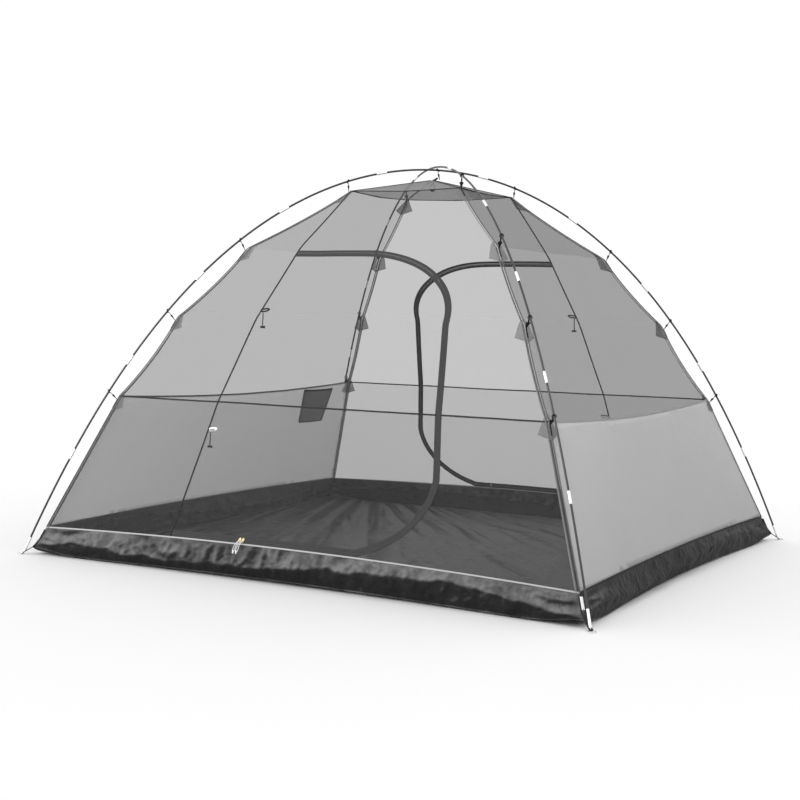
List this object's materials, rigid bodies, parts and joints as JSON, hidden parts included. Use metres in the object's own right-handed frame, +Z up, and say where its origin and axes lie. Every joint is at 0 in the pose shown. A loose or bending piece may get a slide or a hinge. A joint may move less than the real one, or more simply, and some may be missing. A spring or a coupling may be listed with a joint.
{
  "type": "screen house",
  "caption": "Free-standing mesh dome screen house: crossed arch poles with hook clips, bathtub floor, faceted mesh walls and D-shaped zip doors.",
  "frame": {"origin": "on the ground under the crossing of the poles", "axes": "+X right along the front wall, -Y out of the front wall, +Z up"},
  "size_m": [3.0526, 2.825, 1.9833],
  "materials": {
    "tub_fabric": "satin",
    "roof_fabric": "matte",
    "panel_fabric": "matte",
    "mesh_fabric": "matte",
    "pole_fibreglass": "satin",
    "clip_plastic": "satin",
    "toggle_plastic": "satin",
    "pin_steel": "satin",
    "slider_brass": "satin"
  },
  "bodies": {
    "tent": {"back_wall": "mesh_fabric", "clip_left_back_1": "clip_plastic", "clip_left_back_2": "clip_plastic", "clip_left_back_3": "clip_plastic", "clip_left_back_4": "clip_plastic", "clip_left_front_1": "clip_plastic", "clip_left_front_2": "clip_plastic", "clip_left_front_3": "clip_plastic", "clip_left_front_4": "clip_plastic", "clip_right_back_1": "clip_plastic", "clip_right_back_2": "clip_plastic", "clip_right_back_3": "clip_plastic", "clip_right_back_4": "clip_plastic", "clip_right_front_1": "clip_plastic", "clip_right_front_2": "clip_plastic", "clip_right_front_3": "clip_plastic", "clip_right_front_4": "clip_plastic", "corner_pin_left_back": "pin_steel", "corner_pin_left_front": "pin_steel", "corner_pin_right_back": "pin_steel", "corner_pin_right_front": "pin_steel", "crown_hook": "clip_plastic", "floor_tub": "tub_fabric", "front_wall": "mesh_fabric", "left_lower_panel": "panel_fabric", "left_upper_mesh": "mesh_fabric", "pole_a_section_1": "pole_fibreglass", "pole_a_section_10": "pole_fibreglass", "pole_a_section_11": "pole_fibreglass", "pole_a_section_2": "pole_fibreglass", "pole_a_section_3": "pole_fibreglass", "pole_a_section_4": "pole_fibreglass", "pole_a_section_5": "pole_fibreglass", "pole_a_section_6": "pole_fibreglass", "pole_a_section_7": "pole_fibreglass", "pole_a_section_8": "pole_fibreglass", "pole_a_section_9": "pole_fibreglass", "pole_b_section_1": "pole_fibreglass", "pole_b_section_10": "pole_fibreglass", "pole_b_section_11": "pole_fibreglass", "pole_b_section_2": "pole_fibreglass", "pole_b_section_3": "pole_fibreglass", "pole_b_section_4": "pole_fibreglass", "pole_b_section_5": "pole_fibreglass", "pole_b_section_6": "pole_fibreglass", "pole_b_section_7": "pole_fibreglass", "pole_b_section_8": "pole_fibreglass", "pole_b_section_9": "pole_fibreglass", "right_lower_panel": "panel_fabric", "right_upper_mesh": "mesh_fabric", "roof_cap": "roof_fabric"},
    "front_door": {"front_door": "mesh_fabric"},
    "back_door": {"back_door": "mesh_fabric"},
    "front_zip_slider_left": {"front_zip_slider_left": "slider_brass"},
    "front_zip_slider_right": {"front_zip_slider_right": "slider_brass"},
    "back_zip_slider": {"back_zip_slider": "slider_brass"},
    "front_toggle_upper": {"front_toggle_upper": "toggle_plastic"},
    "front_toggle_lower": {"front_toggle_lower": "toggle_plastic"},
    "back_toggle_upper": {"back_toggle_upper": "toggle_plastic"},
    "back_toggle_lower": {"back_toggle_lower": "toggle_plastic"}
  },
  "joints": [
    {"name": "front_door_swing", "type": "hinge", "parent": "tent", "child": "front_door", "pos_m": [-0.559, -1.077, 0.782], "axis": [-0.1694, -0.4198, -0.8917], "range_deg": [0, 110]},
    {"name": "back_door_swing", "type": "hinge", "parent": "tent", "child": "back_door", "pos_m": [0.559, 1.077, 0.782], "axis": [0.1694, 0.4198, -0.8917], "range_deg": [0, 110]},
    {"name": "front_slider_left_run", "type": "slide", "parent": "tent", "child": "front_zip_slider_left", "axis": [-1, 0, 0], "range_m": [0, 0.38]},
    {"name": "front_slider_right_run", "type": "slide", "parent": "tent", "child": "front_zip_slider_right", "axis": [1, 0, 0], "range_m": [0, 0.44]},
    {"name": "back_slider_run", "type": "slide", "parent": "tent", "child": "back_zip_slider", "axis": [1, 0, 0], "range_m": [0, 0.85]},
    {"name": "front_toggle_upper_swing", "type": "hinge", "parent": "tent", "child": "front_toggle_upper", "pos_m": [-0.4535, -0.8587, 1.21], "axis": [1, 0, 0], "range_deg": [-8, 80]},
    {"name": "front_toggle_lower_swing", "type": "hinge", "parent": "tent", "child": "front_toggle_lower", "pos_m": [-0.5621, -1.1216, 0.64], "axis": [1, 0, 0], "range_deg": [-8, 80]},
    {"name": "back_toggle_upper_swing", "type": "hinge", "parent": "tent", "child": "back_toggle_upper", "pos_m": [0.4535, 0.8587, 1.21], "axis": [-1, 0, 0], "range_deg": [-8, 80]},
    {"name": "back_toggle_lower_swing", "type": "hinge", "parent": "tent", "child": "back_toggle_lower", "pos_m": [0.5621, 1.1216, 0.64], "axis": [-1, 0, 0], "range_deg": [-8, 80]}
  ]
}
